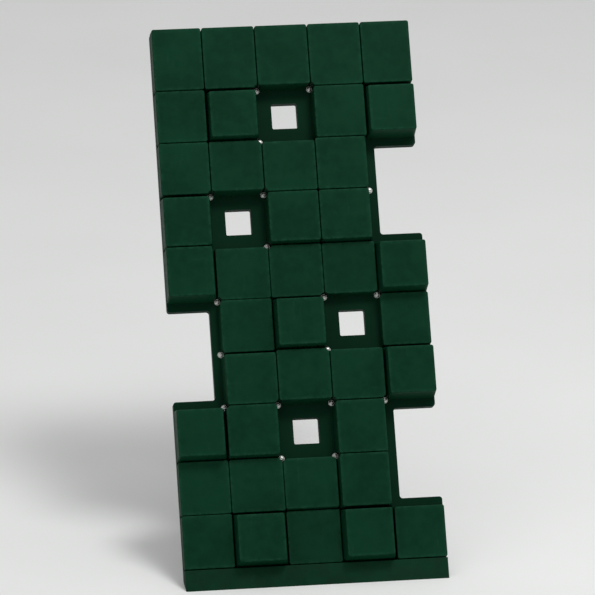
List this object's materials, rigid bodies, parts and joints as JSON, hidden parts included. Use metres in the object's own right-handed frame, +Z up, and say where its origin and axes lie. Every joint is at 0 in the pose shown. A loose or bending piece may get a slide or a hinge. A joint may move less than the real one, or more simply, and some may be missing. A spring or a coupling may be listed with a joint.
{
  "type": "rock climbing wall",
  "caption": "Leaning playground climbing wall of square blocks in several heights on a pierced panel, with open windows and edge notches as holds.",
  "frame": {"origin": "on the ground, in the middle of the wall's footprint as installed", "axes": "+X across the wall to a climber's right, +Y from the climber towards the deck, +Z up"},
  "size_m": [0.868, 1.0618, 1.6091],
  "materials": {
    "block_green": "satin moulded polyethylene, dark green",
    "panel_green": "satin polyethylene sheet, dark green",
    "frame_steel": "powder coated, dark brown",
    "bracket_steel": "powder coated, near black brown",
    "stainless": "stainless, lightly brushed",
    "zinc_steel": "zinc plated",
    "insert_brass": "plain brass",
    "black_plastic": "matt black polyethylene"
  },
  "bodies": {
    "root": {"base_panel": "panel_green", "block_r01_c1": "block_green", "block_r01_c2": "block_green", "block_r01_c3": "block_green", "block_r01_c4": "block_green", "block_r01_c5": "block_green", "block_r02_c1": "block_green", "block_r02_c2": "block_green", "block_r02_c4": "block_green", "block_r02_c5": "block_green", "block_r03_c1": "block_green", "block_r03_c2": "block_green", "block_r03_c3": "block_green", "block_r03_c4": "block_green", "block_r04_c1": "block_green", "block_r04_c3": "block_green", "block_r04_c4": "block_green", "block_r05_c1": "block_green", "block_r05_c2": "block_green", "block_r05_c3": "block_green", "block_r05_c4": "block_green", "block_r05_c5": "block_green", "block_r06_c2": "block_green", "block_r06_c3": "block_green", "block_r06_c5": "block_green", "block_r07_c2": "block_green", "block_r07_c3": "block_green", "block_r07_c4": "block_green", "block_r07_c5": "block_green", "block_r08_c1": "block_green", "block_r08_c2": "block_green", "block_r08_c4": "block_green", "block_r09_c1": "block_green", "block_r09_c2": "block_green", "block_r09_c3": "block_green", "block_r09_c4": "block_green", "block_r10_c1": "block_green", "block_r10_c2": "block_green", "block_r10_c3": "block_green", "block_r10_c4": "block_green", "block_r10_c5": "block_green", "toe_strip": "panel_green", "stringer_1": "frame_steel", "stringer_2": "frame_steel", "stringer_3": "frame_steel", "stringer_4": "frame_steel", "hanger_left": "bracket_steel", "hanger_right": "bracket_steel", "foot_left": "bracket_steel", "foot_right": "bracket_steel", "corner_bolts": "stainless", "corner_washers": "stainless", "corner_nuts": "stainless", "panel_screws": "zinc_steel", "block_bolts": "zinc_steel", "hanger_bolts": "zinc_steel", "foot_bolts": "zinc_steel", "toe_screws": "zinc_steel", "block_inserts": "insert_brass", "stringer_caps": "black_plastic"}
  },
  "joints": []
}
